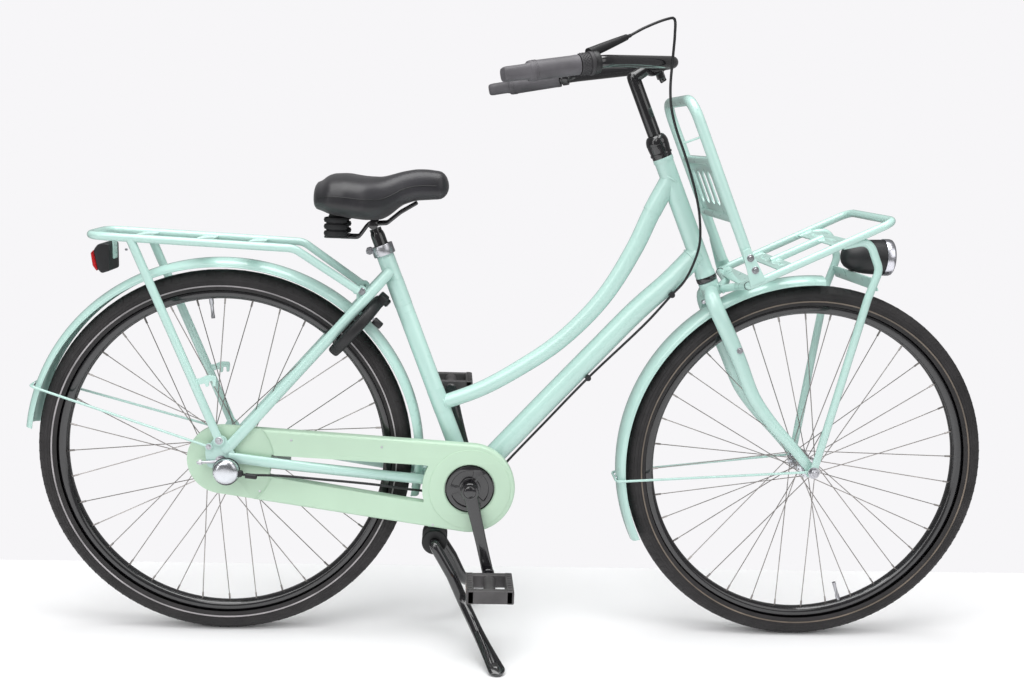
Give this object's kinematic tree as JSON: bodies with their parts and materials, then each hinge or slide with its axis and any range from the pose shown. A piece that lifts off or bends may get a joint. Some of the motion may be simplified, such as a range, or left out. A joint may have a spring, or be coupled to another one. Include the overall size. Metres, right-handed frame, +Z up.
{
  "type": "city bicycle",
  "caption": "Step-through city bicycle with a front carrier, rear rack, closed chaincase, ring lock and two-leg stand.",
  "frame": {"origin": "on the ground, under the middle of the whole bicycle's box", "axes": "+X points ahead, +Y to the rider's left, +Z up"},
  "size_m": [1.8634, 0.6286, 1.191],
  "materials": {
    "mint_paint": "gloss powder coat",
    "case_plastic": "satin moulded plastic",
    "black_plastic": "matte",
    "black_paint": "gloss",
    "steel": "satin",
    "chrome": "polished",
    "tyre": "matte",
    "grip": "matte",
    "spring_rubber": "matte",
    "saddle_cover": "soft vinyl",
    "amber": "reflector",
    "red_lens": "reflector",
    "clear_lens": "clear"
  },
  "bodies": {
    "frame": {"main_frame": "mint_paint", "chaincase_outer": "case_plastic", "chaincase_inner": "case_plastic", "chain": "steel", "rear_axle": "steel", "bottom_bracket": "steel", "brake_arm": "steel", "gear_box": "black_plastic", "gear_box_cap": "steel", "rear_mudguard": "mint_paint", "rear_mudguard_stay": "mint_paint", "rear_rack": "mint_paint", "tail_light_body": "black_plastic", "tail_light_lens": "red_lens", "ring_lock_body": "black_plastic", "seat_clamp": "steel", "stand_housing": "black_plastic", "headset_lower_cup": "black_paint", "headset_upper_cup": "black_paint", "gear_cable": "black_plastic"},
    "rear_wheel": {"rear_tyre": "tyre", "rear_rim": "black_paint", "rear_hub": "steel"},
    "sprocket": {"rear_sprocket": "steel"},
    "crankset": {"chainring": "black_paint", "right_crank": "black_paint", "left_crank": "black_paint"},
    "pedal_right": {"right_pedal": "black_plastic", "right_pedal_reflector": "amber"},
    "pedal_left": {"left_pedal": "black_plastic", "left_pedal_reflector": "amber"},
    "seat": {"seat_post": "black_paint", "saddle": "saddle_cover", "saddle_rails": "black_paint", "saddle_spring_right": "spring_rubber", "saddle_spring_left": "spring_rubber"},
    "shackle": {"ring_lock_shackle": "steel"},
    "stand": {"stand_legs": "black_paint"},
    "steering": {"headset_cap": "black_paint", "fork": "mint_paint", "stem": "black_paint", "handlebar": "black_paint", "right_grip": "grip", "left_grip": "grip", "shifter_housing": "black_plastic", "bell": "black_paint", "front_axle": "steel", "front_mudguard": "mint_paint", "front_mudguard_stay": "mint_paint", "front_carrier": "mint_paint", "carrier_back_panel": "mint_paint", "headlight_bell": "black_plastic", "headlight_ring": "chrome", "headlight_lens": "clear_lens", "headlight_reflector": "chrome"},
    "front_wheel": {"front_tyre": "tyre", "front_rim": "black_paint", "front_hub": "steel"},
    "gear_twist": {"shifter_twist": "grip"},
    "bell_thumb": {"bell_lever": "black_paint"}
  },
  "joints": [
    {"name": "steering", "type": "hinge", "parent": "frame", "child": "steering", "pos_m": [0.35997, 0, 0.718], "axis": [-0.3971, 0, 0.9178], "range_deg": [-60, 60], "deforming": ["gear_cable"]},
    {"name": "front_wheel", "type": "hinge", "parent": "steering", "child": "front_wheel", "pos_m": [0.57568, 0, 0.356], "axis": [0, 1, 0], "continuous": true},
    {"name": "rear_wheel", "type": "hinge", "parent": "frame", "child": "rear_wheel", "pos_m": [-0.55592, 0, 0.356], "axis": [0, 1, 0], "continuous": true},
    {"name": "crankset", "type": "hinge", "parent": "frame", "child": "crankset", "pos_m": [-0.08692, 0, 0.308], "axis": [0, 1, 0], "continuous": true},
    {"name": "rear_sprocket", "type": "hinge", "parent": "frame", "child": "sprocket", "pos_m": [-0.55592, 0, 0.356], "axis": [0, 1, 0], "continuous": true},
    {"name": "pedal_right", "type": "hinge", "parent": "crankset", "child": "pedal_right", "pos_m": [-0.04695, -0.145, 0.14277], "axis": [0, 1, 0], "continuous": true},
    {"name": "pedal_left", "type": "hinge", "parent": "crankset", "child": "pedal_left", "pos_m": [-0.1269, 0.145, 0.47323], "axis": [0, 1, 0], "continuous": true},
    {"name": "seat_height", "type": "slide", "parent": "frame", "child": "seat", "axis": [-0.3631, 0, 0.9317], "range_m": [-0.02, 0.08]},
    {"name": "shackle", "type": "hinge", "parent": "frame", "child": "shackle", "pos_m": [-0.31259, 0, 0.60815], "axis": [-0.7524, 0, 0.6587], "range_deg": [-70, 0], "stiffness_Nm_per_rad": 0.05, "springref_deg": 91.67},
    {"name": "stand", "type": "hinge", "parent": "frame", "child": "stand", "pos_m": [-0.15192, 0, 0.19], "axis": [0, 1, 0], "range_deg": [0, 110]},
    {"name": "gear_twist", "type": "hinge", "parent": "steering", "child": "gear_twist", "pos_m": [0.07845, -0.25725, 1.09701], "axis": [0.9392, 0.299, 0.169], "range_deg": [0, 80]},
    {"name": "bell_thumb", "type": "hinge", "parent": "steering", "child": "bell_thumb", "pos_m": [0.09441, 0.25216, 1.09988], "axis": [0, 0, 1], "range_deg": [0, 20], "stiffness_Nm_per_rad": 0.02, "springref_deg": -45.84}
  ],
  "couplings": [
    {"joint": "rear_sprocket", "follows": "crankset", "ratio": 2}
  ]
}
